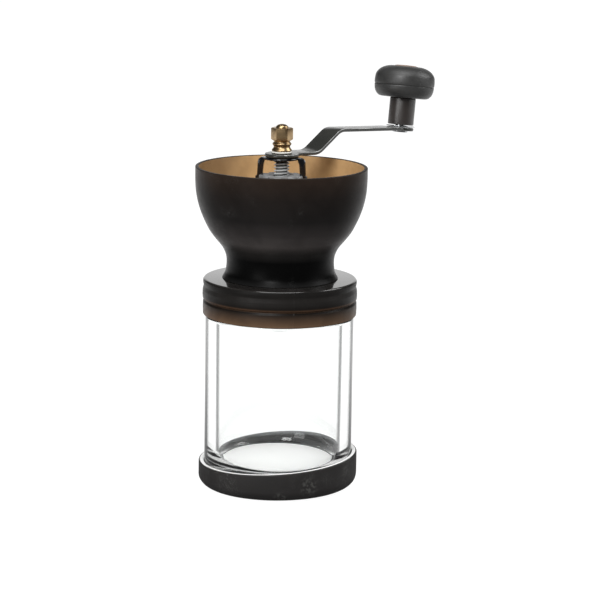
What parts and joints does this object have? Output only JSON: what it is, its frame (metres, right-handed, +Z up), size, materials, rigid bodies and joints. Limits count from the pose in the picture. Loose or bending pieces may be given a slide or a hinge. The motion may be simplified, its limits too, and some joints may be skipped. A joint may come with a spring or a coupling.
{
  "type": "manual coffee grinder",
  "caption": "Hand-cranked coffee grinder with a clear screw-on jar in a rubber base ring, smoke-brown hopper, cone burrs and a bent crank with a turning knob.",
  "frame": {"origin": "on the mill's axis, at the underside of the jar's foot, level with the base ring's underside", "axes": "+Z up along the mill's axis, +X along the crank at rest, +Y to the left of the crank seen from above"},
  "size_m": [0.1709, 0.093, 0.2239],
  "materials": {
    "boot_rubber": "matte",
    "clear_glass": "clear, polished",
    "seal_rubber": "satin",
    "smoke_plastic": "satin, smoke brown, faintly see-through",
    "black_plastic": "satin",
    "white_nylon": "satin",
    "ceramic": "matte ceramic",
    "steel": "bright",
    "grey_plastic": "satin",
    "gloss_black": "gloss",
    "arm_paint": "satin dark grey",
    "brass": "satin",
    "soft_touch": "soft matte",
    "brown_plastic": "matte"
  },
  "bodies": {
    "jar": {"base_boot": "boot_rubber", "glass_jar": "clear_glass"},
    "seal": {"seal_ring": "seal_rubber"},
    "head": {"screw_collar": "smoke_plastic", "hopper": "smoke_plastic", "bearing_tower": "black_plastic", "upper_bush": "white_nylon", "lower_bush": "white_nylon", "thrust_washer": "white_nylon", "burr_housing": "black_plastic", "outer_burr": "ceramic", "housing_screw_1": "steel", "housing_screw_2": "steel", "housing_screw_3": "steel"},
    "nut": {"adjusting_nut": "grey_plastic"},
    "shaft": {"main_shaft": "steel", "nut_stopper": "gloss_black", "crank_arm": "arm_paint", "hub_washer": "white_nylon", "cap_nut": "brass", "inner_burr": "ceramic", "burr_carrier": "black_plastic", "burr_washer": "steel", "burr_nut": "steel", "spring_seat": "steel", "return_spring": "steel", "knob_spindle": "steel", "spindle_washer": "steel"},
    "knob": {"knob_stem": "gloss_black", "knob_base": "soft_touch", "knob_cap": "soft_touch", "knob_plug": "brown_plastic"}
  },
  "joints": [
    {"name": "head_lift", "type": "slide", "parent": "jar", "child": "seal", "axis": [0, 0, 1], "range_m": [0, 0.0061]},
    {"name": "head_turn", "type": "hinge", "parent": "seal", "child": "head", "pos_m": [0, 0, 0.1], "axis": [0, 0, 1], "range_deg": [0, 540]},
    {"name": "crank_spin", "type": "hinge", "parent": "head", "child": "nut", "pos_m": [0, 0, 0.16], "axis": [0, 0, 1], "continuous": true},
    {"name": "grind_setting", "type": "slide", "parent": "nut", "child": "shaft", "axis": [0, 0, 1], "range_m": [-0.001, 0.0012], "deforming": ["return_spring"]},
    {"name": "knob_spin", "type": "hinge", "parent": "shaft", "child": "knob", "pos_m": [0.1042, 0, 0.18833], "axis": [0.1219, 0, 0.9925], "continuous": true}
  ],
  "couplings": [
    {"joint": "head_lift", "follows": "head_turn", "m_per_rad": 0.00063662}
  ]
}
